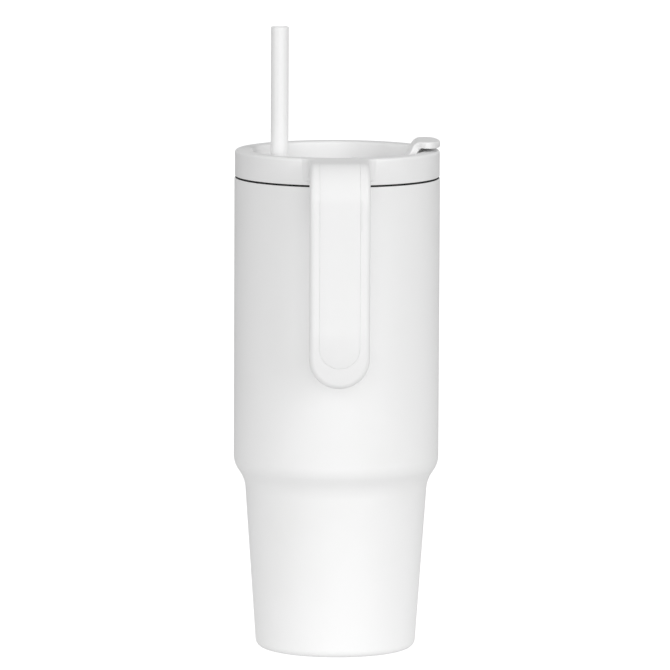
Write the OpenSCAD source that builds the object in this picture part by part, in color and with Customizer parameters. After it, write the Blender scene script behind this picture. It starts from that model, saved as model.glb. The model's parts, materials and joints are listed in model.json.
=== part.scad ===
// Insulated tumbler: a double-wall steel cup, a screw lid with a strap handle,
// a straw and a hinged sip flap.
// +Z is up. The cup stands on z = 0 and its axis is the Z axis.
// The handle points to -Y, the finger tab of the flap to +X, and the straw stands at -X.

/* [Cup] */
// Outer radius of the cup above its shoulder
cup_r = 50; // [46:0.5:60]
// Height of the lip above the table
cup_h = 230.7; // [192:0.1:277]
// Radius at which the lower cone would meet the table
base_r = 38.8; // [32:0.1:42]
// Half angle of the lower cone
cone_a = 3.97; // [2:0.01:5]
// Height of the middle of the shoulder
shoulder_z = 87.1; // [72:0.1:105]
// Slope of the shoulder from the vertical
shoulder_a = 32.5; // [27:0.1:39]
// Radius of the hollow below the shoulder
shoulder_low_r = 16.3; // [8:0.1:20]
// Radius of the round above the shoulder
shoulder_top_r = 11.7; // [8:0.1:14]
// Radius of the edge round the base
base_edge_r = 3.9; // [3.2:0.1:4.7]
// Thickness of the outer steel wall, with its coating
shell_t = 0.6; // [0.5:0.05:1.1]
// Thickness of the inner steel wall
liner_t = 0.6; // [0.5:0.05:1.1]
// Width of the vacuum gap between the walls
vacuum_gap = 2.4; // [1.6:0.1:2.6]
// Height of the drinking floor's underside above the table
floor_z = 6.6; // [6.4:0.1:9]
// Radius of the edge round the inside floor
liner_edge_r = 3.5; // [3:0.1:5]
// Round on the outside of the lip
lip_edge_r = 0.4; // [0.2:0.1:0.4]

/* [Base] */
// Width of the foot, the flat part of the outer wall that turns in under the cup
foot_w = 5.8; // [5.3:0.1:7.5]
// How far the base disc laps onto the foot
disc_lap = 1.6; // [1:0.1:2.5]
// Thickness of the base disc
base_disc_t = 0.8; // [0.6:0.05:1]
// Distance from the inner edge of the foot to the soft pad
pad_margin = 1.8; // [1.6:0.1:6]
// Thickness of the soft pad
pad_t = 2.4; // [2:0.1:2.8]
// Radius of the cap over the evacuation hole
vacuum_cap_r = 7; // [5:0.1:9]
// Thickness of that cap
vacuum_cap_t = 0.8; // [0.6:0.1:1]
// Radius of the getter pill
getter_r = 5; // [3:0.1:6]
// Height of the getter pill
getter_h = 2.2; // [1:0.1:2.6]
// Thickness of the foil round the liner
foil_t = 0.15; // [0.1:0.01:0.3]
// Distance from the middle of the shoulder up to the foil
foil_start = 14; // [12:0.5:40]
// Distance from the lip down to the foil
foil_end = 16; // [12:0.5:40]

/* [Lid] */
// Thickness of the black ring between the lid and the lip
gasket_t = 0.9; // [0.7:0.1:1.2]
// How far that ring stands back from the side of the cup
gasket_back = 0.45; // [0.1:0.05:0.8]
// Height of the outer band of the lid
band_h = 12.95; // [11:0.05:15]
// Step from the side of the cup to the side of the band
band_step = 0.2; // [0:0.05:0.5]
// Wall thickness of the band
band_t = 2.2; // [1.8:0.1:2.6]
// Width of the rim, from the side of the cup to the dish
rim_w = 8.7; // [8:0.1:10]
// Depth of the dish below the rim
dish_depth = 9.95; // [8.5:0.05:10.5]
// Round on the outside of the rim
rim_edge_r = 1.3; // [0.5:0.1:1.8]
// Round between the rim and the dish
dish_edge_r = 1.5; // [0.5:0.1:1.8]
// How far the rim falls from its crest to its two edges
rim_shoulder = 0.25; // [0.1:0.05:0.4]
// Thickness of the dish wall
dish_wall_t = 2; // [1.6:0.1:2.2]
// Thickness of the deck that is the floor of the dish
deck_t = 2.4; // [2:0.1:3]
// Length of the plug below the lip
plug_len = 16.5; // [15:0.1:19]
// Thickness of the plug's bottom plate
plate_t = 2; // [1.5:0.1:3]
// Wall thickness of the plug's skirt
skirt_t = 3; // [2.6:0.1:3.4]

/* [Screw thread] */
// Rise of the lid in one turn
thread_lead = 10; // [10:0.5:12]
// Depth of the liner's ridges below the lip, where they start
thread_depth = 9.2; // [8.5:0.1:9.5]
// Number of thread starts
thread_starts = 2; // [2]
// Angle that each thread ridge covers
thread_span = 220; // [120:5:240]
// Height of a thread ridge
thread_h = 1.2; // [0.8:0.1:1.3]
// Clearance between a ridge and the wall that it faces
thread_gap = 0.4; // [0.3:0.05:0.5]
// Half width of a ridge where it leaves its wall
ridge_root = 1.4; // [1:0.1:1.5]
// Half width of a ridge at its crest
ridge_crest = 0.8; // [0.5:0.1:0.9]

/* [Straw] */
// Outer diameter of the straw
straw_d = 8.6; // [7:0.1:10.4]
// Wall of the straw
straw_t = 1; // [0.7:0.1:1.3]
// How far the straw stands above the rim
straw_above = 59.55; // [40:0.05:90]
// Gap between the foot of the straw and the floor
straw_foot_gap = 0.4; // [0.3:0.1:2]
// Running clearance between the straw and its grommet
straw_fit = 0.05; // [0.02:0.01:0.09]
// Width of the grommet's flange past the straw
grommet_flange = 4; // [3:0.1:4.5]
// Thickness of the grommet's flange
grommet_flange_t = 1.2; // [0.8:0.1:1.6]
// Width of the grommet's neck past the straw
grommet_neck = 2.05; // [1.6:0.05:2.3]
// How far the bead below the deck stands out from the neck
grommet_bead = 1; // [0.6:0.1:1.2]
// Height of that bead
grommet_bead_h = 1.8; // [1.2:0.1:2.2]
// Gap between the straw and the hole in the plug's plate
plate_hole_gap = 1.25; // [0.5:0.05:2]

/* [Sip flap] */
// Radius of the drinking spout
sip_r = 7; // [5.5:0.1:8.4]
// Wall of the tubes below the deck
tube_t = 1.6; // [1.2:0.1:2]
// Distance from the wall of the dish to the middle of the spout
sip_inset = 14.3; // [13.5:0.1:16]
// Distance from the middle of the spout to the hinge
hinge_back = 18; // [17:0.1:20]
// Distance from the hinge to the vent hole
vent_ahead = 5.5; // [5:0.1:7]
// How far the stopper goes into the spout
stopper_depth = 2.8; // [2:0.1:3.2]
// Radius of the vent hole
vent_r = 1.2; // [0.8:0.1:1.5]
// Width of the finger tab
flap_w = 29.2; // [26:0.2:32]
// Width of the arm that carries the tab
arm_w = 24.4; // [20:0.2:25]
// Thickness of the flap's plate
flap_t = 2.4; // [2:0.1:2.8]
// Gap between the deck and the flap's plate
flap_gap = 1.3; // [1.1:0.1:1.6]
// Thickness of the finger tab
tab_t = 3.05; // [2.5:0.05:3.5]
// Gap between the finger tab and the rim
tab_gap = 1.65; // [1.5:0.05:3]
// How far the finger tab stands out past the band
tab_overhang = 0.1; // [0:0.1:4]
// Radius of the finger tab's round tip
tip_r = 26; // [18:0.5:40]
// Radius of the hinge pin
pin_r = 1.5; // [1.2:0.1:1.6]
// Running clearance round the hinge pin
pin_fit = 0.05; // [0.02:0.01:0.09]
// Outer radius of the hinge barrel and its ears
barrel_r = 2.3; // [2.2:0.05:2.5]
// Length of the hinge barrel
barrel_l = 18; // [14:0.5:20]
// Thickness of a hinge ear
ear_t = 3; // [2:0.1:4]

/* [Handle] */
// Width of the strap
handle_w = 28.9; // [24:0.1:35]
// Finger gap between the side of the cup and the strap
finger_gap = 28; // [23:0.5:36]
// Thickness of the strap
handle_t = 8; // [7:0.1:10]
// Length of the handle below the rim
handle_l = 107.4; // [88:0.05:128]
// Depth of the arm that joins the strap to the band
arm_h = 11.05; // [9:0.05:11.5]
// Outer radius of the bend between arm and strap
bend_r = 18; // [12:0.1:18.5]
// How much tighter the inside of that bend is
bend_step = 5; // [4:0.5:6]
// How far the lower end turns in towards the cup
curl = 4.7; // [1:0.1:5]
// Height of the part of the strap that turns in
curl_l = 27; // [20:0.5:32]
// How much thinner the strap is at its lower end
tip_thin = 2.5; // [1:0.1:4]
// Round on the lower end in side view
tip_edge_r = 2.4; // [1:0.1:2.5]
// Radius where the arm blends into the band
root_r = 6; // [4:0.1:7]
// Width of the border round the panel in the strap
panel_border = 4.8; // [4:0.1:6]
// Distance from the strap's lower end to the panel's
panel_foot = 10.2; // [7:0.1:13]
// Distance from the outside of the strap back to the panel's upper end, on top of the arm
panel_back = 19; // [18.5:0.5:22]
// Thickness of the panel in the strap
panel_t = 2.5; // [2:0.1:3.5]
// Gap round that panel
panel_gap = 0.15; // [0.1:0.05:0.3]

/* [Hidden] */
$fn = 96;
arc_step = 7;

// clearances between pieces of one body
slip = 0.2;
foam_gap = 0.5;
joint_gap = 0.3;

seat_gap = 0.1;
seal_in_gap = 0.4;
seal_out_gap = 0.5;

// how far one piece runs into another where the two are one moulding
arm_sink = 3;
ridge_sink = 0.25;

// edge round of the soft pieces and of the plug
soft_edge_r = 0.6;
pad_edge_r = 0.4;
plug_edge_r = 0.8;

// cup
liner_out = shell_t + vacuum_gap;
liner_in = liner_out + liner_t;
mouth_r = cup_r - liner_in;
floor_top = floor_z + liner_t;
cone_in_r = base_r - liner_in / cos(cone_a) + floor_top * tan(cone_a);
floor_flat_r = cone_in_r - liner_edge_r / tan(45 + cone_a / 2);
lip_flange_t = liner_t;
foot_in_r = base_r - foot_w;
base_disc_r = foot_in_r + disc_lap;
pad_r = foot_in_r - pad_margin;
pad_step_r = pad_r + joint_gap;
dimple_r = vacuum_cap_r + slip;
dimple_h = 1.2;
evacuation_r = 1;
foil_low = shoulder_z + foil_start;
foil_top = cup_h - foil_end;

// lid heights
band_z = cup_h + gasket_t;
rim_z = band_z + band_h;
deck_z = rim_z - dish_depth;
deck_low = deck_z - deck_t;
plug_z = cup_h - plug_len;
plate_top = plug_z + plate_t;
flange_t = 1.8;

// lid radii
band_r = cup_r - band_step;
band_in_r = band_r - band_t;
dish_r = cup_r - rim_w;
skirt_r = mouth_r - thread_h - thread_gap;
skirt_in_r = skirt_r - skirt_t;
deck_r = dish_r + dish_wall_t + joint_gap;
seat_r = deck_r + seat_gap;
seal_in_r = skirt_in_r + seal_in_gap;
seal_out_r = seat_r - seal_out_gap;
seal_h = 0.8;
band_edge_r = 0.3;
rim_crown_r = 20;
gasket_in_r = skirt_r + joint_gap;

// thread heights, measured at the start of each ridge
thread_pitch = thread_lead / thread_starts;
liner_ridge_z = cup_h - thread_depth;
lid_ridge_z = liner_ridge_z - thread_pitch / 2;

// straw
straw_r = straw_d / 2;
straw_x = floor_flat_r - straw_r;
straw_low = floor_top + straw_foot_gap;
straw_top = rim_z + straw_above;
grommet_r = straw_r + straw_fit;
grommet_neck_r = straw_r + grommet_neck;
grommet_bead_r = grommet_neck_r + grommet_bead;
grommet_flange_r = straw_r + grommet_flange;
straw_tube_r = grommet_bead_r + slip;
plate_hole_r = straw_r + plate_hole_gap;

// sip flap
hinge_z = deck_z + barrel_r + joint_gap;
sip_x = dish_r - sip_inset;
hinge_x = sip_x - hinge_back;
vent_x = hinge_x + vent_ahead;
flap_low = deck_z + flap_gap;
flap_high = flap_low + flap_t;
stopper_low = deck_z - stopper_depth;
pad_gap = 0.1;
stopper_fit = 0.3;
stopper_taper = 1;
stopper_lap = 1.2;
vent_lap = 1;
tab_low = rim_z + tab_gap;
tab_top = tab_low + tab_t;
tab_tip_r = band_r + tab_overhang;

// side view of the flap: places measured in from the wall of the dish
arm_foot = 7;
arm_back = 9.4;
arm_head = 2.35;
rim_gap = 0.45;
knee_x = 0.7;
knee_l = 1.8;
knee_r = 1.5;
tab_back = 3.7;
// how far the tip of the tab hangs down, and over what length
tab_droop = 0.3;
tab_droop_l = 3.4;
flap_bend_r = 3;
head_bend_r = 4.5;
tab_edge_r = 1.4;
crest_r = 18;
// where the flap widens from its barrel to its full width
neck_l = 2;
neck_widen = 5;
neck_r = 1.5;
// where the arm widens into the finger tab
wing_back = 2.3;
wing_l = 2;
wing_r = 1;

// handle
handle_out = cup_r + finger_gap + handle_t;
handle_low = rim_z - handle_l;
handle_start = band_r - arm_sink;
arm_low = rim_z - arm_h;
panel_hw = handle_w / 2 - panel_border;
panel_start = handle_out - panel_back;
curl_bend_r = 40;

// one rounded corner at b, between the neighbours a and c, as points along an arc
function unit(v) = v / norm(v);
function turned(a) = a > 180 ? a - 360 : a < -180 ? a + 360 : a;
function corner(a, b, c) =
    let (p = [b[0], b[1]],
         u = unit([a[0], a[1]] - p),
         w = unit([c[0], c[1]] - p),
         half = acos(max(-1, min(1, u * w))) / 2,
         r = len(b) > 2 ? b[2] : 0,
         middle = p + unit(u + w) * r / sin(half),
         from_v = p + u * r / tan(half) - middle,
         to_v = p + w * r / tan(half) - middle,
         a0 = atan2(from_v[1], from_v[0]),
         sweep = turned(atan2(to_v[1], to_v[0]) - a0),
         n = ceil(abs(sweep) / arc_step))
    [for (i = [0:n]) middle + r * [cos(a0 + sweep * i / n), sin(a0 + sweep * i / n)]];

// closed outline from corners given as [x, y] or [x, y, corner radius]
function rounded(pts) =
    [for (i = [0:len(pts) - 1])
        each len(pts[i]) > 2
            ? corner(pts[(i + len(pts) - 1) % len(pts)], pts[i], pts[(i + 1) % len(pts)])
            : [pts[i]]];

module turn_profile(pts) {
    rotate_extrude() polygon(rounded(pts));
}

module ring(r_out, r_in, z, h) {
    translate([0, 0, z]) difference() {
        cylinder(r = r_out, h = h);
        translate([0, 0, -1]) cylinder(r = r_in, h = h + 2);
    }
}

module disc(x, r, z, h) {
    translate([x, 0, z]) cylinder(r = r, h = h);
}

// a side view, with its first coordinate along -Y, drawn out along X
module side_extrude(w) {
    rotate([0, 0, -90]) rotate([90, 0, 0]) linear_extrude(w, center = true) children();
}

// a front view in X and Z, drawn out towards -Y from y0
module front_extrude(y0, l) {
    translate([0, -y0, 0]) rotate([90, 0, 0]) linear_extrude(l) children();
}

// radius of each stretch of the cup's wall at height z, for a surface set in by o
function cone_at(o, z) = base_r + z * tan(cone_a) - o / cos(cone_a);
shoulder_mid_r = (cup_r + cone_at(0, shoulder_z)) / 2;
function slope_at(o, z) = shoulder_mid_r + (z - shoulder_z) * tan(shoulder_a) - o / cos(shoulder_a);

// corners of the wall from the floor to the top, for a surface set in by o
function wall(o, floor_h, edge_r, top_h) =
    let (z_low = shoulder_z - (slope_at(o, shoulder_z) - cone_at(o, shoulder_z))
                 / (tan(shoulder_a) - tan(cone_a)),
         z_high = shoulder_z + (cup_r - o - slope_at(o, shoulder_z)) / tan(shoulder_a))
    [[cone_at(o, floor_h), floor_h, edge_r],
     [cone_at(o, z_low), z_low, shoulder_low_r + o],
     [cup_r - o, z_high, shoulder_top_r - o],
     [cup_r - o, top_h]];

function reversed(v) = [for (i = [len(v) - 1:-1:0]) v[i]];

// ---- cup ----

module outer_shell() {
    outside = wall(0, 0, base_edge_r, cup_h);
    inside = wall(shell_t, shell_t, base_edge_r - shell_t, cup_h);
    lip = [cup_r, cup_h, lip_edge_r];
    color("white") turn_profile(concat([[foot_in_r, 0]], [for (i = [0:2]) outside[i]], [lip],
                                       reversed(inside), [[foot_in_r, shell_t]]));
}

module outer_base() {
    color("silver") difference() {
        turn_profile([[0, pad_t + dimple_h], [dimple_r, pad_t + dimple_h], [dimple_r, pad_t],
                      [pad_step_r, pad_t], [pad_step_r, shell_t], [base_disc_r, shell_t],
                      [base_disc_r, shell_t + base_disc_t],
                      [pad_step_r + base_disc_t, shell_t + base_disc_t],
                      [pad_step_r + base_disc_t, pad_t + base_disc_t],
                      [dimple_r + base_disc_t, pad_t + base_disc_t],
                      [dimple_r + base_disc_t, pad_t + dimple_h + base_disc_t],
                      [0, pad_t + dimple_h + base_disc_t]]);
        disc(0, evacuation_r, 0, floor_z);
    }
}

module vacuum_seal_cap() {
    color("silver") disc(0, vacuum_cap_r, pad_t + dimple_h - vacuum_cap_t, vacuum_cap_t);
}

module getter() {
    color("dimgray") disc((dimple_r + pad_r) / 2, getter_r, pad_t + base_disc_t, getter_h);
}

module radiation_foil() {
    color("gainsboro") ring(cup_r - liner_out + foil_t, cup_r - liner_out, foil_low, foil_top - foil_low);
}

module base_pad() {
    color("gainsboro")
        turn_profile([[0, 0], [pad_r, 0, pad_edge_r], [pad_r, pad_t, pad_edge_r], [0, pad_t]]);
}

// a ridge that climbs round a wall: side is 1 for an outside thread and -1 for an inside one
module thread_ridge(wall_r, side, z0) {
    run_out = 20;
    steps = 24;
    least_rise = 0.08;
    root_r0 = wall_r - side * ridge_sink;
    function rise(t) = max(least_rise, min(1, t * thread_span / run_out, (1 - t) * thread_span / run_out));
    points = [for (i = [0:steps])
        let (t = i / steps, a = t * thread_span, z = z0 + thread_lead * a / 360,
             crest_r = wall_r + side * thread_h * rise(t),
             cut = [[root_r0, -ridge_root], [crest_r, -ridge_crest],
                    [crest_r, ridge_crest], [root_r0, ridge_root]])
        each [for (p = cut) [p[0] * cos(a), p[0] * sin(a), z + p[1]]]];
    sides = [for (i = [0:steps - 1], k = [0:3])
        let (a = 4 * i + k, b = 4 * i + (k + 1) % 4) [a, b, b + 4, a + 4]];
    last = 4 * steps;
    faces = concat([[3, 2, 1, 0]], sides, [[last, last + 1, last + 2, last + 3]]);
    polyhedron(points, side > 0 ? faces : [for (f = faces) reversed(f)]);
}

module thread(wall_r, side, z0) {
    for (k = [0:thread_starts - 1])
        rotate([0, 0, 360 * k / thread_starts]) thread_ridge(wall_r, side, z0);
}

module inner_liner() {
    outside = wall(liner_out, floor_z, liner_edge_r + liner_t, cup_h - lip_flange_t);
    inside = wall(liner_in, floor_top, liner_edge_r, cup_h);
    color("silver") union() {
        turn_profile(concat([[0, floor_z]], outside, [[cup_r - shell_t, cup_h - lip_flange_t],
                            [cup_r - shell_t, cup_h]], reversed(inside), [[0, floor_top]]));
        thread(mouth_r, -1, liner_ridge_z);
    }
}

// ---- lid ----

module lid_gasket() {
    color("black") ring(cup_r - gasket_back, gasket_in_r, cup_h, gasket_t);
}

// outer line of the handle in side view, set in by o
function handle_line(start, o) =
    [[start, rim_z - rim_shoulder - o],
     [handle_out - o, rim_z - rim_shoulder - o, bend_r - o],
     [handle_out - o, handle_low + curl_l, curl_bend_r],
     [handle_out - curl - o, handle_low]];

module handle_front(hw, low) {
    translate([0, low + hw]) circle(r = hw);
    translate([-hw, low + hw]) square([2 * hw, rim_z - low]);
}

// the pocket is open to the outside, the panel fills it flush
module panel_shape(proud, gap) {
    intersection() {
        side_extrude(handle_w)
            polygon(rounded(concat(handle_line(panel_start - gap, -proud),
                                   reversed(handle_line(panel_start - gap, panel_t)))));
        front_extrude(panel_start - 1, handle_out)
            handle_front(panel_hw + gap, handle_low + panel_foot - gap);
    }
}

module handle_strap() {
    line = handle_line(handle_start, 0);
    tip = line[3];
    outline = concat([line[0], line[1], line[2]],
                     [[tip[0], tip[1], tip_edge_r], [tip[0] - handle_t + tip_thin, tip[1], tip_edge_r],
                      [handle_out - handle_t, handle_low + curl_l, curl_bend_r],
                      [handle_out - handle_t, arm_low, bend_r - bend_step],
                      [handle_start, arm_low]]);
    difference() {
        intersection() {
            side_extrude(handle_w) polygon(rounded(outline));
            front_extrude(0, handle_out + 1) handle_front(handle_w / 2, handle_low);
        }
        panel_shape(1, panel_gap);
    }
}

// concave blend between the arm's sides and the round of the band
module handle_root() {
    root_x = handle_w / 2 + root_r;
    root_y = sqrt(pow(band_r + root_r, 2) - root_x * root_x);
    k = band_r / (band_r + root_r);
    translate([0, 0, arm_low]) linear_extrude(rim_z - rim_shoulder - arm_low) difference() {
        polygon([[-root_x, -root_y], [root_x, -root_y], [root_x * k, -root_y * k],
                 [-root_x * k, -root_y * k]]);
        for (s = [-1, 1]) translate([s * root_x, -root_y]) circle(r = root_r);
    }
}

module lid_collar() {
    shoulder_top = rim_z - rim_shoulder;
    color("white") union() {
        turn_profile([[band_in_r, band_z], [band_r, band_z, band_edge_r],
                      [band_r, shoulder_top, rim_edge_r], [(band_r + dish_r) / 2, rim_z, rim_crown_r],
                      [dish_r, shoulder_top, dish_edge_r], [dish_r, deck_z], [dish_r + dish_wall_t, deck_z],
                      [dish_r + dish_wall_t, rim_z - band_t], [band_in_r, rim_z - band_t]]);
        difference() {
            union() {
                handle_strap();
                handle_root();
            }
            disc(0, band_in_r + band_t / 2, arm_low - 1, arm_h + 2);
        }
    }
}

module handle_panel() {
    color("white") panel_shape(0, 0);
}

module hinge_ear(y) {
    translate([hinge_x, y, 0]) rotate([90, 0, 0]) linear_extrude(ear_t, center = true) union() {
        translate([0, hinge_z]) circle(r = barrel_r);
        translate([-barrel_r, deck_z - 1]) square([2 * barrel_r, hinge_z - deck_z + 1]);
    }
}

module lid_deck() {
    ear_y = barrel_l / 2 + joint_gap + ear_t / 2;
    color("white") difference() {
        union() {
            disc(0, deck_r, deck_low, deck_t);
            disc(sip_x, sip_r + tube_t, plate_top, deck_z - plate_top);
            disc(vent_x, vent_r + tube_t, plate_top, deck_z - plate_top);
            disc(-straw_x, straw_tube_r + tube_t, plate_top, deck_z - plate_top);
            for (s = [-1, 1]) hinge_ear(s * ear_y);
        }
        disc(sip_x, sip_r, plate_top - 1, dish_depth + plug_len);
        disc(vent_x, vent_r, plate_top - 1, dish_depth + plug_len);
        disc(-straw_x, grommet_neck_r, plate_top - 1, dish_depth + plug_len);
        disc(-straw_x, straw_tube_r, plate_top - 1, deck_low - plate_top + 1);
        translate([hinge_x, 0, hinge_z]) rotate([90, 0, 0])
            cylinder(r = pin_r, h = 2 * dish_r, center = true);
    }
}

module deck_seal() {
    color("gainsboro") ring(seal_out_r, seal_in_r, deck_low - seal_h, seal_h);
}

module lid_foam() {
    foam_low = plate_top + foam_gap;
    foam_h = deck_low - foam_gap - seal_h - foam_low;
    color("ivory") difference() {
        disc(0, skirt_in_r - foam_gap, foam_low, foam_h);
        disc(sip_x, sip_r + tube_t + foam_gap, foam_low - 1, foam_h + 2);
        disc(vent_x, vent_r + tube_t + foam_gap, foam_low - 1, foam_h + 2);
        disc(-straw_x, straw_tube_r + tube_t + foam_gap, foam_low - 1, foam_h + 2);
    }
}

module lid_plug() {
    color("white") difference() {
        union() {
            turn_profile([[0, plug_z], [skirt_r, plug_z, plug_edge_r], [skirt_r, band_z],
                          [band_in_r - slip, band_z], [band_in_r - slip, band_z + flange_t],
                          [seat_r, band_z + flange_t],
                          [seat_r, deck_low], [seal_out_r, deck_low], [seal_out_r, deck_low - seal_h],
                          [seal_in_r, deck_low - seal_h], [seal_in_r, deck_low], [skirt_in_r, deck_low],
                          [skirt_in_r, plate_top], [0, plate_top]]);
            thread(skirt_r, 1, lid_ridge_z);
        }
        disc(sip_x, sip_r, plug_z - 1, plate_t + 2);
        disc(vent_x, vent_r, plug_z - 1, plate_t + 2);
        disc(-straw_x, plate_hole_r, plug_z - 1, plate_t + 2);
    }
}

module straw_grommet() {
    bead_low = deck_low - grommet_bead_h;
    flange_top = deck_z + grommet_flange_t;
    color("gainsboro") translate([-straw_x, 0, 0])
        turn_profile([[grommet_r, bead_low], [grommet_bead_r, bead_low, soft_edge_r],
                      [grommet_bead_r, deck_low], [grommet_neck_r, deck_low], [grommet_neck_r, deck_z],
                      [grommet_flange_r, deck_z], [grommet_flange_r, flange_top, soft_edge_r],
                      [grommet_r, flange_top]]);
}

module straw() {
    color("white") translate([-straw_x, 0, 0])
        ring(straw_r, straw_r - straw_t, straw_low, straw_top - straw_low);
}

module flap_pin() {
    color("silver") translate([hinge_x, 0, hinge_z]) rotate([90, 0, 0])
        cylinder(r = pin_r, h = barrel_l + 2 * (joint_gap + ear_t), center = true);
}

// side view of the flap: a plate over the spout, a sloping arm and a tab over the rim
module flap_side() {
    polygon(rounded([[hinge_x, flap_low], [dish_r - arm_foot, flap_low, flap_bend_r],
                     [dish_r - arm_head, rim_z + rim_gap, knee_r],
                     [dish_r + knee_x, rim_z + rim_gap, knee_r],
                     [dish_r + knee_x + knee_l, tab_low, knee_r],
                     [tab_tip_r, tab_low - tab_droop, tab_edge_r],
                     [tab_tip_r, tab_top - tab_droop, tab_edge_r],
                     [tab_tip_r - tab_droop_l, tab_top, crest_r], [dish_r - tab_back, tab_top, head_bend_r],
                     [dish_r - arm_back, flap_high, flap_bend_r], [hinge_x, flap_high]]));
}

module flap_plan() {
    neck_x = hinge_x + barrel_r + neck_l;
    wing_x = dish_r - wing_back;
    side = [[hinge_x - barrel_r, barrel_l / 2], [neck_x, barrel_l / 2, neck_r],
            [neck_x + neck_widen, arm_w / 2, 2 * neck_r], [wing_x, arm_w / 2, wing_r],
            [wing_x + wing_l, flap_w / 2, wing_r], [tab_tip_r + 1, flap_w / 2]];
    intersection() {
        polygon(rounded(concat(side, [for (p = reversed(side)) [p[0], -p[1], if (len(p) > 2) p[2]]])));
        translate([tab_tip_r - tip_r, 0]) circle(r = tip_r);
    }
}

module sip_flap() {
    color("white") difference() {
        union() {
            intersection() {
                rotate([90, 0, 0]) linear_extrude(flap_w + 2, center = true) flap_side();
                translate([0, 0, deck_z]) linear_extrude(tab_top + 2 - deck_z) flap_plan();
            }
            translate([hinge_x, 0, hinge_z]) rotate([90, 0, 0])
                cylinder(r = barrel_r, h = barrel_l, center = true);
        }
        translate([hinge_x, 0, hinge_z]) rotate([90, 0, 0])
            cylinder(r = pin_r + pin_fit, h = barrel_l + 2, center = true);
    }
}

module flap_stopper() {
    color("gainsboro") translate([sip_x, 0, 0])
        turn_profile([[0, stopper_low], [sip_r - stopper_fit - stopper_taper, stopper_low, soft_edge_r],
                      [sip_r - stopper_fit, deck_z + pad_gap], [sip_r + stopper_lap, deck_z + pad_gap],
                      [sip_r + stopper_lap, flap_low], [0, flap_low]]);
}

module vent_stopper() {
    color("gainsboro") disc(vent_x, vent_r + vent_lap, deck_z + pad_gap, flap_low - deck_z - pad_gap);
}

outer_shell();
outer_base();
vacuum_seal_cap();
getter();
radiation_foil();
inner_liner();
base_pad();
lid_gasket();
lid_collar();
handle_panel();
lid_deck();
deck_seal();
lid_foam();
lid_plug();
straw_grommet();
flap_pin();
sip_flap();
flap_stopper();
vent_stopper();
straw();
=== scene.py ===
import json
import math
import bmesh
import bpy
from mathutils import Euler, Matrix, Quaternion, Vector


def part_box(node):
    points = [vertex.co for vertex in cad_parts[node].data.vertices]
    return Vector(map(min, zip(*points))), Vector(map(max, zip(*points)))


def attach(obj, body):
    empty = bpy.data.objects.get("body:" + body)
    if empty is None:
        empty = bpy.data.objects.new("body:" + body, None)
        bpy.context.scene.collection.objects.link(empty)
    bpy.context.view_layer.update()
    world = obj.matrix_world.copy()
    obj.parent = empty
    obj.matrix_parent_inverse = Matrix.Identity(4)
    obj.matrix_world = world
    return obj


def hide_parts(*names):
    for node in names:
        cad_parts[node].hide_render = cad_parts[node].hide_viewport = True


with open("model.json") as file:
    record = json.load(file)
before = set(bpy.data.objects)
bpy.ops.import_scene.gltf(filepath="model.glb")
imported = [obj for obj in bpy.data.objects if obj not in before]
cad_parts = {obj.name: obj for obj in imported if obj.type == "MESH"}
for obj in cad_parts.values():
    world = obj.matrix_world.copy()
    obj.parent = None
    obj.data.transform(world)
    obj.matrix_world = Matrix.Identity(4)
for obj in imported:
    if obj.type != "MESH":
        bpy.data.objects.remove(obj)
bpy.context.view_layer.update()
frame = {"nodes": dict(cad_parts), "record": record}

mm = 0.001
weldGap = 1e-6             # in metres; points closer than this are one point
nodes = frame["nodes"]


def low(node):
    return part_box(node)[0] / mm


def high(node):
    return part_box(node)[1] / mm


def mix(a, b, t):
    return a + (b - a) * t


def ease(t):
    t = min(1.0, max(0.0, t))
    return t * t * (3 - 2 * t)


# 0 before a stretch, 1 after it
def stretch(x, ends):
    return ease((x - ends[0]) / (ends[1] - ends[0]))


# how far out a circle round the origin stands at a distance to the side
def arcAt(radius, side):
    return math.sqrt(radius ** 2 - side ** 2)


# points are (x, y) or (x, y, corner radius); the line comes back with its corners as arcs
def roundedLine(points, closed=False, step=6.0):
    out = []
    count = len(points)
    for i, p in enumerate(points):
        b = Vector(p[:2])
        radius = p[2] if len(p) > 2 else 0
        ends = not closed and i in (0, count - 1)
        if radius <= 0 or ends:
            out.append((b.x, b.y))
            continue
        toA = (Vector(points[i - 1][:2]) - b).normalized()
        toC = (Vector(points[(i + 1) % count][:2]) - b).normalized()
        half = math.acos(max(-1, min(1, toA.dot(toC)))) / 2
        middle = b + (toA + toC).normalized() * radius / math.sin(half)
        start = b + toA * radius / math.tan(half) - middle
        end = b + toC * radius / math.tan(half) - middle
        a0 = math.atan2(start.y, start.x)
        sweep = math.atan2(end.y, end.x) - a0
        sweep = (sweep + math.pi) % (2 * math.pi) - math.pi
        n = max(2, math.ceil(abs(math.degrees(sweep)) / step))
        for k in range(n + 1):
            a = a0 + sweep * k / n
            out.append((middle.x + radius * math.cos(a), middle.y + radius * math.sin(a)))
    return out


def makeMesh(name, verts, faces):
    mesh = bpy.data.meshes.new(name)
    mesh.from_pydata([Vector(v) * mm for v in verts], [], faces)
    bm = bmesh.new()
    bm.from_mesh(mesh)
    bmesh.ops.remove_doubles(bm, verts=bm.verts, dist=weldGap)
    bmesh.ops.dissolve_degenerate(bm, edges=bm.edges, dist=weldGap / 10)
    bmesh.ops.recalc_face_normals(bm, faces=bm.faces)
    bm.to_mesh(mesh)
    bm.free()
    obj = bpy.data.objects.new(name, mesh)
    bpy.context.scene.collection.objects.link(obj)
    smooth(obj)
    return obj


def smooth(obj, sharpAngle=40):
    obj.data.shade_smooth()
    obj.data.set_sharp_from_angle(angle=math.radians(sharpAngle))


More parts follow.
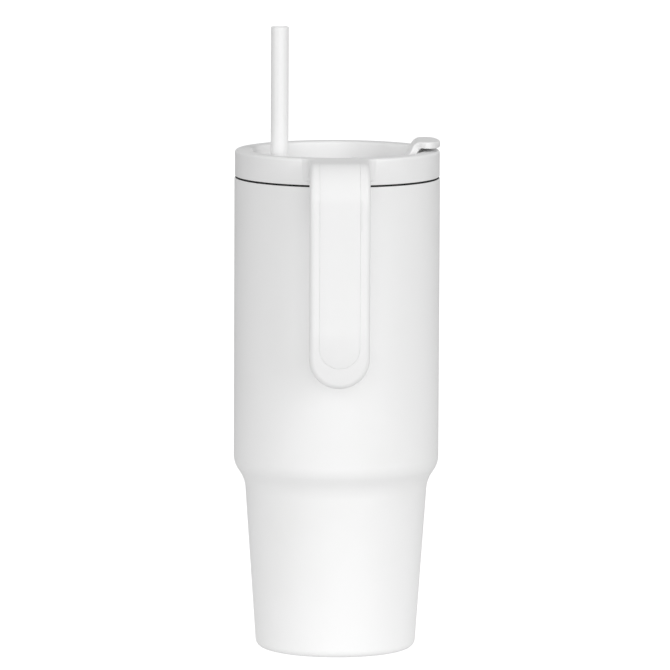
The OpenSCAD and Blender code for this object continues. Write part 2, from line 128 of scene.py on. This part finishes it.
# turns a closed outline of (radius, z) about a vertical axis
def lathe(name, outline, centre=(0, 0), segments=320):
    verts, faces = [], []
    n = len(outline)
    for k in range(segments):
        a = 2 * math.pi * k / segments
        c, s = math.cos(a), math.sin(a)
        verts += [(centre[0] + r * c, centre[1] + r * s, z) for r, z in outline]
    for k in range(segments):
        k2 = (k + 1) % segments
        for i in range(n):
            j = (i + 1) % n
            faces.append((k * n + i, k2 * n + i, k2 * n + j, k * n + j))
    return makeMesh(name, verts, faces)


# a copy of a CAD node with its sharp edges rounded over
def softened(node, name, width, angle):
    mesh = nodes[node].data.copy()
    mesh.materials.clear()
    bm = bmesh.new()
    bm.from_mesh(mesh)
    bmesh.ops.remove_doubles(bm, verts=bm.verts, dist=weldGap)
    flat = math.radians(0.5)
    bmesh.ops.dissolve_limit(bm, angle_limit=flat, verts=bm.verts, edges=bm.edges)
    bmesh.ops.recalc_face_normals(bm, faces=bm.faces)
    bm.to_mesh(mesh)
    bm.free()
    obj = bpy.data.objects.new(name, mesh)
    bpy.context.scene.collection.objects.link(obj)
    bevel = obj.modifiers.new("edges", "BEVEL")
    bevel.width = width * mm
    bevel.segments = 2
    bevel.limit_method = "ANGLE"
    bevel.angle_limit = math.radians(angle)
    bevel.use_clamp_overlap = True
    applyModifiers(obj)
    smooth(obj)
    return obj


def applyModifiers(obj):
    graph = bpy.context.evaluated_depsgraph_get()
    mesh = bpy.data.meshes.new_from_object(obj.evaluated_get(graph))
    obj.modifiers.clear()
    obj.data = mesh


def place(obj, body, node, slot):
    obj.data.materials.clear()
    obj.data.materials.append(materials[slot])
    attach(obj, body)
    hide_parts(node)


def newMaterial(name, color, roughness):
    mat = bpy.data.materials.new(name)
    mat.use_nodes = True
    shader = mat.node_tree.nodes["Principled BSDF"]
    shader.inputs["Base Color"].default_value = (*color, 1)
    shader.inputs["Roughness"].default_value = roughness
    return mat, shader


def addNode(mat, kind, **values):
    node = mat.node_tree.nodes.new(kind)
    for key, value in values.items():
        if key in node.inputs:
            node.inputs[key].default_value = value
        else:
            setattr(node, key, value)
    return node


def wire(mat, a, outName, b, inName):
    mat.node_tree.links.new(a.outputs[outName], b.inputs[inName])


def noise(mat, scale, detail=2.0, stretch=(1, 1, 1)):
    coord = addNode(mat, "ShaderNodeTexCoord")
    mapping = addNode(mat, "ShaderNodeMapping")
    mapping.inputs["Scale"].default_value = stretch
    tex = addNode(mat, "ShaderNodeTexNoise", Scale=scale, Detail=detail)
    wire(mat, coord, "Object", mapping, "Vector")
    wire(mat, mapping, "Vector", tex, "Vector")
    return tex


def ramp(mat, source, lowValue, highValue, start=0.3, end=0.7):
    node = addNode(mat, "ShaderNodeMapRange")
    node.inputs["From Min"].default_value = start
    node.inputs["From Max"].default_value = end
    node.inputs["To Min"].default_value = lowValue
    node.inputs["To Max"].default_value = highValue
    wire(mat, source, "Fac", node, "Value")
    return node


# layers are (height source, strength, depth in mm), coarse first
def bumpFrom(mat, shader, *layers):
    last = None
    for source, strength, depth in layers:
        bump = addNode(mat, "ShaderNodeBump", Strength=strength, Distance=depth * mm)
        wire(mat, source, "Fac", bump, "Height")
        if last:
            wire(mat, last, "Normal", bump, "Normal")
        last = bump
    wire(mat, last, "Normal", shader, "Normal")


# base colour between two close shades, as a mask goes from start to end
def colorMix(mat, shader, mask, colorA, colorB, start=0.3, end=0.7):
    amount = ramp(mat, mask, 0, 1, start, end)
    blend = addNode(mat, "ShaderNodeMix", data_type="RGBA")
    blend.inputs[6].default_value = (*colorA, 1)
    blend.inputs[7].default_value = (*colorB, 1)
    mat.node_tree.links.new(amount.outputs["Result"], blend.inputs[0])
    mat.node_tree.links.new(blend.outputs[2], shader.inputs["Base Color"])


powderCoat = {
    "color": (0.85, 0.85, 0.85),
    "rubbed": (0.82, 0.82, 0.815),     # where hands and cup holders have polished it
    "roughness": (0.50, 0.60),
    "peelScale": 900,                  # orange peel, about a millimetre across
    "peel": (0.25, 0.05),              # strength and depth in mm, as for the grain
    "grainScale": 4200,                # fine powder grain
    "grain": (0.35, 0.03),
    "patchScale": 18,
}


def powderCoatMaterial():
    p = powderCoat
    mat, shader = newMaterial("powderCoat", p["color"], sum(p["roughness"]) / 2)
    peel = noise(mat, p["peelScale"], 2)
    grain = noise(mat, p["grainScale"], 1)
    patch = noise(mat, p["patchScale"], 3)
    bumpFrom(mat, shader, (peel, *p["peel"]), (grain, *p["grain"]))
    rough = ramp(mat, patch, *p["roughness"])
    wire(mat, rough, "Result", shader, "Roughness")
    colorMix(mat, shader, patch, p["rubbed"], p["color"], 0.2, 0.5)
    return mat


moulded = {
    "waveScale": 60,       # slow waves of the moulded skin
    "wave": (0.08, 0.12),  # strength and depth in mm
    "grainDepth": 0.02,    # spark-eroded texture of the mould
    "roughSpread": 0.05,
    "paintedTroughShade": 0.985,        # painted shade: how much darker the skin is painted in the troughs of the waves
}


def mouldedMaterial(name, color, roughness, grainScale=3500, grain=0.2):
    m = moulded
    mat, shader = newMaterial(name, color, roughness)
    fine = noise(mat, grainScale, 2)
    wave = noise(mat, m["waveScale"], 2)
    bumpFrom(mat, shader, (wave, *m["wave"]), (fine, grain, m["grainDepth"]))
    rough = ramp(mat, wave, roughness - m["roughSpread"], roughness + m["roughSpread"])
    wire(mat, rough, "Result", shader, "Roughness")
    # painted shade: the base colour is darker where the bump's waves run low
    colorMix(mat, shader, wave, [c * m["paintedTroughShade"] for c in color], color)
    return mat


silicone = {
    "skinScale": 2600,
    "skin": (0.2, 0.03),   # strength and depth in mm
    "roughSpread": 0.06,
    "dustScale": 90,
    "dust": 0.015,         # how much paler the dusty patches are
    "specular": 0.3,
}


def siliconeMaterial(name, color, roughness=0.6):
    m = silicone
    mat, shader = newMaterial(name, color, roughness)
    skin = noise(mat, m["skinScale"], 3)
    bumpFrom(mat, shader, (skin, *m["skin"]))
    rough = ramp(mat, skin, roughness - m["roughSpread"], roughness + m["roughSpread"])
    wire(mat, rough, "Result", shader, "Roughness")
    shader.inputs["Specular IOR Level"].default_value = m["specular"]
    colorMix(mat, shader, noise(mat, m["dustScale"], 3), color, [c + m["dust"] for c in color])
    return mat


steel = {
    "lineScale": 900,
    "lineStretch": (0.02, 0.02, 1.5),  # long round the axis, short up it
    "line": (0.15, 0.02),              # strength and depth in mm
    "cloudScale": 40,
    "cloud": 0.94,                     # how much darker the clouded patches are
    "roughSpread": 0.08,
}


def steelMaterial(name, color, roughness):
    m = steel
    mat, shader = newMaterial(name, color, roughness)
    shader.inputs["Metallic"].default_value = 1
    lines = noise(mat, m["lineScale"], 3, m["lineStretch"])
    bumpFrom(mat, shader, (lines, *m["line"]))
    rough = ramp(mat, lines, roughness - m["roughSpread"], roughness + m["roughSpread"])
    wire(mat, rough, "Result", shader, "Roughness")
    colorMix(mat, shader, noise(mat, m["cloudScale"], 3), [c * m["cloud"] for c in color], color)
    return mat


print("finishes")
lidWhite = (0.85, 0.85, 0.85)
materials = {
    "powder_coat": powderCoatMaterial(),
    "lid_plastic": mouldedMaterial("lidPlastic", lidWhite, 0.45),
    "panel_plastic": mouldedMaterial("panelPlastic", lidWhite, 0.52, 3000, 0.3),
    "flap_plastic": mouldedMaterial("flapPlastic", lidWhite, 0.42),
    "straw_plastic": mouldedMaterial("strawPlastic", (0.87, 0.87, 0.87), 0.38, 1800, 0.1),
    "black_rubber": siliconeMaterial("blackSeal", (0.003, 0.003, 0.003), 0.7),
    "soft_grey": siliconeMaterial("greySilicone", (0.62, 0.62, 0.62), 0.65),
    "soft_white": siliconeMaterial("whiteSilicone", (0.78, 0.78, 0.77), 0.6),
    "bare_steel": steelMaterial("turnedSteel", (0.62, 0.615, 0.605), 0.3),
    "getter_metal": steelMaterial("sinteredMetal", (0.22, 0.22, 0.23), 0.7),
    "foil": steelMaterial("foil", (0.85, 0.85, 0.85), 0.2),
    "foam": siliconeMaterial("foam", (0.86, 0.85, 0.82), 0.85),
}


print("cup")
cup = {
    "radius": high("outer_shell").x,
    "lip": high("outer_shell").z,
    "baseRadius": 38.8,
    "coneAngle": 3.97,
    "shoulderZ": 87.1,
    "shoulderSlope": 32.5,
    "shoulderLowRadius": 16.3,
    "shoulderTopRadius": 11.7,
    "baseEdge": 3.9,
    "lipEdge": 0.4,
    "wall": 0.6,
    "footHole": 33.0,
    "footHoleEdge": 0.15,
}


def cupLine(inset, floorZ, edge, topZ):
    c = cup
    cone = math.radians(c["coneAngle"])
    slope = math.radians(c["shoulderSlope"])

    def coneAt(o, z):
        return c["baseRadius"] + z * math.tan(cone) - o / math.cos(cone)

    middle = (c["radius"] + coneAt(0, c["shoulderZ"])) / 2 - inset / math.cos(slope)
    overCone = middle - coneAt(inset, c["shoulderZ"])
    zLow = c["shoulderZ"] - overCone / (math.tan(slope) - math.tan(cone))
    zHigh = c["shoulderZ"] + (c["radius"] - inset - middle) / math.tan(slope)
    return [(coneAt(inset, floorZ), floorZ, edge),
            (coneAt(inset, zLow), zLow, c["shoulderLowRadius"] + inset),
            (c["radius"] - inset, zHigh, c["shoulderTopRadius"] - inset),
            (c["radius"] - inset, topZ)]


def buildShell():
    c = cup
    outside = cupLine(0, 0, c["baseEdge"], c["lip"])
    inside = cupLine(c["wall"], c["wall"], c["baseEdge"] - c["wall"], c["lip"])
    outline = [(c["footHole"], 0, c["footHoleEdge"])] + outside[:3]
    outline += [(c["radius"], c["lip"], c["lipEdge"])] + inside[::-1] + [(c["footHole"], c["wall"])]
    shell = lathe("outerShell", roundedLine(outline, True, 3))
    place(shell, "cup", "outer_shell", "powder_coat")


buildShell()


print("collar and handle")
lid = {
    "bandZ": high("lid_gasket").z,
    "rimZ": high("lid_collar").z,
    "bandRadius": high("lid_collar").x,
    "bandWall": 2.2,
    "rimWidth": 8.5,
    "dishWall": 2.0,
    "dishDepth": 9.5,
    "rimDrop": 0.25,       # how far the rim falls from its crest to its edges
    "outerEdge": 1.3,
    "dishEdge": 1.5,
    "bandFootEdge": 0.35,
    "dishFootEdge": 0.2,
    "underEdge": 0.8,      # corners under the rim and the arm
    "crown": 20.0,
}


def buildCollar():
    c = lid
    band = c["bandRadius"]
    dish = band - c["rimWidth"]
    foot, top, deck = c["bandZ"], c["rimZ"], c["rimZ"] - c["dishDepth"]
    insideBand, outsideDish, under = band - c["bandWall"], dish + c["dishWall"], top - c["bandWall"]
    outline = [(insideBand, foot),
               (band, foot, c["bandFootEdge"]),
               (band, top - c["rimDrop"], c["outerEdge"]),
               ((band + dish) / 2, top, c["crown"]),
               (dish, top - c["rimDrop"], c["dishEdge"]),
               (dish, deck, c["dishFootEdge"]),
               (outsideDish, deck),
               (outsideDish, under, c["underEdge"]),
               (insideBand, under, c["underEdge"])]
    ring = lathe("lidCollar", roundedLine(outline, True, 5))
    place(ring, "lid", "lid_collar", "lid_plastic")


handle = {
    "halfWidth": 14.45,
    "reach": -low("lid_collar").y,
    "foot": low("lid_collar").z,
    "top": high("lid_collar").z - lid["rimDrop"],
    "thickness": 8.0,
    "armDepth": 10.8,
    "bendRadius": 18.0,
    "innerBend": 13.0,
    "innerLag": 60.0,      # height over which the inside catches up with the outside after the bend
    "curl": 4.7,           # how far the lower end turns in
    "curlLength": 27.0,
    "curlPower": 1.4,
    "tipThin": 2.5,        # how much thinner the strap is at its tip
    "rootStart": 48.0,     # distance from the axis where the arm starts, inside the band
    "rootLength": 6.0,     # how far out the blend to the band reaches
    "rootRadius": 6.0,
    "rootOverlap": 1.2,    # how deep that blend runs into the band
    "frontRound": 2.7,
    "backRound": 3.2,
    "roundLength": 16.0,   # length over which the arm's edges grow from the band's to their own
    "panelHalf": 9.65,
    "panelFoot": 10.2,
    "panelDepth": 2.5,
    "panelGap": 0.04,
    "panelEdge": 0.06,
    "panelStart": 67.0,    # distance from the axis where the panel starts
    "panelStep": 0.02,     # the pocket's upper wall stands between two sections this far apart
    "pocketRow": 0.3,      # from the pocket's side wall to the first row on its floor
    "rootStep": 0.5,       # distance between sections: at the root, on the arm, bend and strap
    "armStep": 1.0,
    "bendStep": 0.6,
    "strapStep": 1.5,
}
handle["armLength"] = handle["reach"] - handle["bendRadius"] - handle["rootStart"]
handle["bendEnd"] = handle["armLength"] + handle["bendRadius"] * math.pi / 2
handle["length"] = handle["bendEnd"] + handle["top"] - handle["bendRadius"] - handle["foot"]
handle["panelFrom"] = handle["panelStart"] - handle["rootStart"]
handle["panelCentre"] = handle["length"] - handle["panelFoot"] - handle["panelHalf"]


# outer and inner points (distance from the axis, z) of the strap, at a length along its outside
def handlePath(length):
    h = handle
    armEnd = h["reach"] - h["bendRadius"]
    inner = h["reach"] - h["thickness"]
    innerArmEnd = inner - h["innerBend"]
    armLow = h["top"] - h["armDepth"]
    if length <= h["armLength"]:
        t = length / h["armLength"]
        return (h["rootStart"] + length, h["top"]), (mix(h["rootStart"], innerArmEnd, t), armLow)
    if length <= h["bendEnd"]:
        a = (length - h["armLength"]) / h["bendRadius"]
        out, down = math.sin(a), 1 - math.cos(a)
        return ((armEnd + h["bendRadius"] * out, h["top"] - h["bendRadius"] * down),
                (innerArmEnd + h["innerBend"] * out, armLow - h["innerBend"] * down))
    zTop = h["top"] - h["bendRadius"]
    z = zTop - (length - h["bendEnd"])
    lag = (zTop - (armLow - h["innerBend"])) * (1 - ease((zTop - z) / h["innerLag"]))
    turn = max(0.0, (h["foot"] + h["curlLength"] - z) / h["curlLength"]) ** h["curlPower"]
    innerCurl = h["curl"] - h["tipThin"]
    return (h["reach"] - h["curl"] * turn, z), (inner - innerCurl * turn, z - lag)


# half width of the arm and how far its edge runs back, in the concave blend to the band
def rootEdge(length):
    h, radius = handle, lid["bandRadius"]
    if length >= h["rootLength"]:
        return h["halfWidth"], 0.0
    cx = h["halfWidth"] + h["rootRadius"]
    cs = math.sqrt((radius + h["rootRadius"]) ** 2 - cx * cx)
    k = radius / (radius + h["rootRadius"])
    touchX, touchS = cx * k, cs * k
    rootEnd = h["rootStart"] + h["rootLength"]
    edgeS = mix(touchS - h["rootOverlap"], rootEnd, length / h["rootLength"])
    back = h["rootStart"] + length - edgeS
    if edgeS >= cs:
        return h["halfWidth"], back
    if edgeS <= touchS:
        return touchX * edgeS / touchS, back
    return cx - math.sqrt(h["rootRadius"] ** 2 - (cs - edgeS) ** 2), back


def handlePoint(x, length, depth, fromBack):
    outer, inner = handlePath(length)
    thick = math.hypot(inner[0] - outer[0], inner[1] - outer[1])
    t = (thick - depth if fromBack else depth) / thick
    s, z = mix(outer[0], inner[0], t), mix(outer[1], inner[1], t)
    halfWidth, back = rootEdge(length)
    s -= back * (x / halfWidth) ** 2
    return (x, -s, z)


# pairs of (rim point, middle point), each (x, length): down the left, round the end, up the right
def strapLine(half, foot, lengths, arcSteps=48):
    middle = handle["panelCentre"]
    centre = handle["length"] - foot - half
    left = [((-rootEdge(v)[0] * half / handle["halfWidth"], v), (0, min(v, middle)))
            for v in lengths if v < centre]
    arc = []
    for k in range(arcSteps + 1):
        a = math.pi * k / arcSteps
        arc.append(((-half * math.cos(a), centre + half * math.sin(a)), (0, middle)))
    right = [((-p[0], p[1]), q) for p, q in reversed(left)]
    return left + arc + right


# at each pair of a rim line, a half section runs from the middle of the front, round the edge,
# to the middle of the back; its rows are (distance in from the rim, depth, measured from the back)
def tongue(name, line, section, point):
    verts, faces = [], []
    for (rx, rl), (sx, sl) in line:
        reach = math.hypot(sx - rx, sl - rl)
        row = section(rl, reach)
        for inward, depth, fromBack in row:
            w = min(1.0, inward / reach)
            verts.append(point(mix(rx, sx, w), mix(rl, sl, w), depth, fromBack))
    n = len(row)
    for i in range(len(line) - 1):
        for k in range(n - 1):
            a = i * n + k
            faces.append((a, a + n, a + n + 1, a + 1))
    faces.append(tuple(range(n)))
    faces.append(tuple(range((len(line) - 1) * n, len(line) * n))[::-1])
    return makeMesh(name, verts, faces)


# rows of a quarter-round edge, from the face to the side or back again
def roundEdge(radius, fromBack, steps=9):
    turns = [math.pi / 2 * k / steps for k in range(steps + 1)]
    rows = [(radius * (1 - math.sin(a)), radius * (1 - math.cos(a)), fromBack) for a in turns]
    return rows[::-1] if fromBack else rows


def strapSection(length, reach):
    h = handle
    grow = ease(length / h["roundLength"])
    front = mix(lid["outerEdge"], h["frontRound"], grow)
    back = mix(lid["underEdge"], h["backRound"], grow)
    pocket = length > h["panelFrom"]
    deep = h["panelDepth"] if pocket else 0.0
    edge = h["panelEdge"] if pocket else 0.0
    wall = reach - h["panelHalf"] - h["panelGap"]
    rows = [(reach, deep, False), (mix(wall, reach, 0.6), deep, False),
            (wall + h["pocketRow"], deep, False), (wall, deep, False),
            (wall, edge, False), (wall - h["panelEdge"], 0, False)]
    rows += roundEdge(front, False) + roundEdge(back, True)
    return rows + [(reach / 2, 0, True), (reach, 0, True)]


def panelSection(length, reach):
    edge, deep = handle["panelEdge"], handle["panelDepth"]
    face = [(reach, 0), (reach / 2, 0), (edge * 2, 0), (edge, edge * 0.3), (0, edge)]
    under = [(0, deep), (reach / 2, deep), (reach, deep)]
    return [(inward, depth, False) for inward, depth in face + under]


def spaced(a, b, step):
    n = max(1, round((b - a) / step))
    return [mix(a, b, k / n) for k in range(n + 1)]


def buildHandle():
    h = handle
    lengths = spaced(0, h["rootLength"], h["rootStep"])[:-1]
    lengths += spaced(h["rootLength"], h["panelFrom"], h["armStep"])
    lengths += spaced(h["panelFrom"] + h["panelStep"], h["armLength"], h["armStep"])
    lengths += spaced(h["armLength"], h["bendEnd"], h["bendStep"])[1:]
    lengths += spaced(h["bendEnd"], h["length"], h["strapStep"])[1:]
    strap = tongue("strapHandle", strapLine(h["halfWidth"], 0, lengths), strapSection, handlePoint)
    place(strap, "lid", "lid_collar", "lid_plastic")

    start = h["panelFrom"] + h["panelGap"]
    inPanel = [start] + [v for v in lengths if v > start]
    rim = strapLine(h["panelHalf"], h["panelFoot"], inPanel)
    panel = tongue("handlePanel", rim, panelSection, handlePoint)
    place(panel, "lid", "handle_panel", "panel_plastic")


buildCollar()
buildHandle()


print("lid inside")
softPieces = {             # node: name, body, slot, width of its rounded edges, least angle rounded
    "lid_deck": ("lidDeck", "lid", "lid_plastic", 0.3, 35),
    "lid_plug": ("lidPlug", "lid", "lid_plastic", 0.2, 50),
    "straw_grommet": ("strawGrommet", "lid", "soft_white", 0.2, 35),
    "lid_gasket": ("lidGasket", "lid_ring", "black_rubber", 0.2, 35),
}
for node, (name, body, slot, width, angle) in softPieces.items():
    place(softened(node, name, width, angle), body, node, slot)


print("sip flap")
flap = {
    "hingeX": (low("flap_pin").x + high("flap_pin").x) / 2,
    "hingeZ": (low("flap_pin").z + high("flap_pin").z) / 2,
    "barrelRadius": 2.3,
    "barrelHalf": 9.0,
    "barrelEdge": 0.3,
    "bore": 1.55,
    "boreEdge": 0.2,
    "plateStart": 1.8,     # from the hinge to the start of the plate, inside the barrel
    "plateLow": high("flap_stopper").z,
    "plate": 2.4,
    "tabTop": high("sip_flap").z,
    "tab": 3.05,
    "tipX": high("sip_flap").x,
    "footX": (31.9, 34.3),         # where the plate turns up, above and below
    "footRound": 3.0,
    "headX": (37.6, 39.6),         # where the arm turns over, above and below
    "headRound": (4.5, 3.0),
    "dishRadius": 41.3,            # the arm's outer face bends with the wall of the dish
    "bendIn": (28.9, 31.9),        # that bend sets in over this stretch and fades over the next
    "bendOut": (43.9, 47.9),
    "droopX": 46.5,                # where the tab starts to droop towards its tip
    "droopRound": 18.0,
    "droop": 0.3,
    "neck": (4.3, 9.3),            # distances from the hinge between which the flap widens
    "neckRound": (1.5, 3.0),
    "armHalf": 12.2,
    "wingX": 37.8,                 # where the arm starts to widen into the tab
    "wingLength": 3.8,
    "wingRound": 4.0,
    "tabHalf": 14.6,
    "tipRound": 26.0,
    "tipCorner": 3.2,              # how far in from its sides the round tip starts
    "tipStep": 0.8,
    "cornerRound": 4.5,
    "edge": 0.75,
    "lowEdge": 0.5,
    "step": 0.25,          # distance between the sections that shape it
}


# upper and lower side line of the flap, as (x, z)
def flapLines():
    f = flap
    start, tip = f["hingeX"] + f["plateStart"], f["tipX"]
    plateLow, plateTop = f["plateLow"], f["plateLow"] + f["plate"]
    tabLow, tabTop = f["tabTop"] - f["tab"], f["tabTop"]
    upper = [(start, plateTop), (f["footX"][0], plateTop, f["footRound"]),
             (f["headX"][0], tabTop, f["headRound"][0]), (f["droopX"], tabTop, f["droopRound"]),
             (tip, tabTop - f["droop"])]
    lower = [(start, plateLow), (f["footX"][1], plateLow, f["footRound"]),
             (f["headX"][1], tabLow, f["headRound"][1]), (tip, tabLow - f["droop"])]
    return roundedLine(upper, step=4), roundedLine(lower, step=4)


# second value of a line at a first value, held level past its ends
def lineAt(line, x):
    for a, b in zip(line, line[1:]):
        if x < b[0]:
            return mix(a[1], b[1], max(0.0, (x - a[0]) / (b[0] - a[0])))
    return line[-1][1]


flapUpper, flapLower = flapLines()
# for an x on the upper line, the x opposite it on the lower one
flapMatch = [(flapUpper[0][0], flapLower[0][0]), flap["footX"], flap["headX"],
             (flap["droopX"], flap["droopX"]), (flap["tipX"], flap["tipX"])]


def flapPoint(y, x, depth, fromBack):
    f = flap
    lowX = lineAt(flapMatch, x)
    a = Vector((x, lineAt(flapUpper, x)))
    b = Vector((lowX, lineAt(flapLower, lowX)))
    bulge = arcAt(f["dishRadius"], y) - arcAt(f["dishRadius"], f["armHalf"])
    b.x += max(0.0, bulge) * stretch(x, f["bendIn"]) * (1 - stretch(x, f["bendOut"]))
    thick = (b - a).length
    p = a.lerp(b, (thick - depth if fromBack else depth) / thick)
    return (p.x, y, p.y)


def flapSection(x, reach):
    inside = [reach, reach * 0.75, reach * 0.5, min(reach * 0.4, 3.5)]
    rows = [(v, 0, False) for v in inside] + roundEdge(flap["edge"], False, 6)
    return rows + roundEdge(flap["lowEdge"], True, 6) + [(v, 0, True) for v in reversed(inside)]


# rim and middle line of the flap, each as (y, x)
def flapOutline():
    f = flap
    start = flapUpper[0][0]
    narrow, arm, tab = f["barrelHalf"] - f["barrelEdge"], f["armHalf"], f["tabHalf"]
    centreX = f["tipX"] - f["tipRound"]
    cornerX = centreX + arcAt(f["tipRound"], tab)
    side = [(-narrow, start), (-narrow, f["hingeX"] + f["neck"][0], f["neckRound"][0]),
            (-arm, f["hingeX"] + f["neck"][1], f["neckRound"][1]),
            (-arm, f["wingX"], f["wingRound"]),
            (-tab, f["wingX"] + f["wingLength"], f["wingRound"]), (-tab, cornerX, f["cornerRound"])]
    tip = spaced(f["tipCorner"] - tab, 0, f["tipStep"])
    side = roundedLine(side + [(y, centreX + arcAt(f["tipRound"], y)) for y in tip])
    rim = []
    for a, b in zip(side, side[1:]):
        share = f["step"] / max(f["step"], b[1] - a[1])
        rim += [(mix(a[0], b[0], t), mix(a[1], b[1], t)) for t in spaced(0, 1, share)[:-1]]
    centre = f["droopX"] - 1.5
    half = [(p, (0, min(p[1], centre))) for p in rim + side[-1:]]
    return half + [((-p[0], p[1]), q) for p, q in reversed(half[:-1])]


def buildFlap():
    f = flap
    tab = tongue("flapTab", flapOutline(), flapSection, flapPoint)
    half, edge = f["barrelHalf"], f["barrelEdge"]
    ring = roundedLine([(f["bore"], -half, f["boreEdge"]), (f["barrelRadius"], -half, edge),
                        (f["barrelRadius"], half, edge), (f["bore"], half, f["boreEdge"])], True, 20)
    barrel = lathe("flapBarrel", ring, segments=64)
    for v in barrel.data.vertices:
        x, y, z = v.co
        v.co = (f["hingeX"] * mm + x, z, f["hingeZ"] * mm + y)
    barrel.data.flip_normals()
    for piece in (tab, barrel):
        place(piece, "flap", "sip_flap", "flap_plastic")


buildFlap()


print("straw")
straw = {
    "wall": 1.0,
    "edge": 0.4,
    "mouthEdge": 0.45,     # the upper outer edge, against the lips
    "segments": 96,
}


def buildStraw():
    a, b = low("straw"), high("straw")
    centre = ((a.x + b.x) / 2, (a.y + b.y) / 2)
    radius = (b.x - a.x) / 2
    bore, edge = radius - straw["wall"], straw["edge"]
    outline = roundedLine([(radius, a.z, edge), (radius, b.z, straw["mouthEdge"]),
                           (bore, b.z, edge), (bore, a.z, edge)], True, 15)
    tube = lathe("strawTube", outline, centre, straw["segments"])
    place(tube, "straw_tube", "straw", "straw_plastic")


buildStraw()


print("other nodes")
slots = {row["node"]: row["material_slot"] for row in frame["record"]["subparts"]}
for name, obj in nodes.items():
    if obj.hide_render:
        continue
    obj.data.materials.clear()
    obj.data.materials.append(materials[slots[name]])
    smooth(obj, 35)


print("stage")
studio = {
    "floorSeen": 0.92,     # how white the floor looks
    "floorNear": 0.48,     # light that the floor gives back close round the foot
    "nearRadius": 0.35,
    "world": 0.56,         # light from all round, above the floor
    "backdrop": 1.05,      # how bright the room looks behind the object
    "lights": {            # direction round the object, height angle, power
        "leftLight": (-50, 15, 18.5),
        "frontLight": (0, 9, 16.5),
        "rightFront": (30, 10, 9.5),
        "rightLight": (50, 27, 20.5),
    },
    "lightDistance": 3.0,
    "lightSize": 1.1,
    "aimZ": 0.15,
    "floorRadius": 9.0,
    "floorGap": 0.0002,    # distance between the floor's sheets
    "paper": 0.3,
    "paperRough": 0.9,
}


def disc(name, radius, z, brightness):
    mesh = bpy.data.meshes.new(name)
    bm = bmesh.new()
    bmesh.ops.create_circle(bm, cap_ends=True, radius=radius, segments=96)
    bmesh.ops.translate(bm, verts=bm.verts, vec=(0, 0, z))
    bm.to_mesh(mesh)
    bm.free()
    obj = bpy.data.objects.new(name, mesh)
    bpy.context.scene.collection.objects.link(obj)
    mat, shader = newMaterial(name + "Paper", [studio["paper"]] * 3, studio["paperRough"])
    shader.inputs["Emission Color"].default_value = (1, 1, 1, 1)
    shader.inputs["Emission Strength"].default_value = brightness
    mesh.materials.append(mat)
    return obj


def areaLight(name, turn, tilt, power):
    data = bpy.data.lights.new(name, "AREA")
    data.shape = "SQUARE"
    data.size = studio["lightSize"]
    data.energy = power
    obj = bpy.data.objects.new(name, data)
    bpy.context.scene.collection.objects.link(obj)
    turn, tilt = math.radians(turn), math.radians(tilt)
    out = math.cos(tilt)
    way = Vector((out * math.sin(turn), -out * math.cos(turn), math.sin(tilt)))
    obj.location = Vector((0, 0, studio["aimZ"])) + way * studio["lightDistance"]
    obj.rotation_euler = (-way).to_track_quat("-Z", "Y").to_euler()
    obj.visible_camera = False
    return obj


# a white room, brighter to look at than as a light
def buildWorld():
    world = bpy.data.worlds.new("studio")
    bpy.context.scene.world = world
    world.use_nodes = True
    tree = world.node_tree
    light = tree.nodes["Background"]
    light.inputs["Strength"].default_value = studio["world"]
    light.inputs["Color"].default_value = (1, 1, 1, 1)
    seen = tree.nodes.new("ShaderNodeBackground")
    seen.inputs["Strength"].default_value = studio["backdrop"]
    seen.inputs["Color"].default_value = (1, 1, 1, 1)
    path = tree.nodes.new("ShaderNodeLightPath")
    choose = tree.nodes.new("ShaderNodeMixShader")
    tree.links.new(path.outputs["Is Camera Ray"], choose.inputs["Fac"])
    tree.links.new(light.outputs["Background"], choose.inputs[1])
    tree.links.new(seen.outputs["Background"], choose.inputs[2])
    tree.links.new(choose.outputs["Shader"], tree.nodes["World Output"].inputs["Surface"])


def buildStage():
    st = studio
    gap, radius = st["floorGap"], st["floorRadius"]
    seen = disc("floor", radius, -gap, st["floorSeen"])
    seen.visible_diffuse = seen.visible_glossy = seen.visible_shadow = False
    seen.visible_transmission = False
    disc("floorNear", st["nearRadius"], -2 * gap, st["floorNear"]).visible_camera = False
    disc("floorFar", radius, -3 * gap, 0).visible_camera = False
    buildWorld()
    for name, values in st["lights"].items():
        areaLight(name, *values)


view = {
    "distance": 3.5,
    "height": 0.5853,
    "azimuth": -1.0,
    "pan": 0.0125,
    "pitch": 7.035,
    "roll": 0.252,
    "lens": 388.45612,
    "sensor": 36,
    "farClip": 50,
}


def buildCamera():
    v = view
    data = bpy.data.cameras.new("camera")
    cam = bpy.data.objects.new("camera", data)
    bpy.context.scene.collection.objects.link(cam)
    data.sensor_width = v["sensor"]
    data.lens = v["lens"]
    data.clip_end = v["farClip"]
    a = math.radians(v["azimuth"])
    cam.location = (v["distance"] * math.sin(a), -v["distance"] * math.cos(a), v["height"])
    tilt, pan = math.radians(90 - v["pitch"]), math.radians(v["azimuth"] + v["pan"])
    level = Euler((tilt, 0, pan)).to_quaternion()
    cam.rotation_mode = "QUATERNION"
    cam.rotation_quaternion = level @ Quaternion((0, 0, 1), math.radians(v["roll"]))
    bpy.context.scene.camera = cam


buildStage()
buildCamera()
scene = bpy.context.scene
scene.view_settings.view_transform = "Standard"
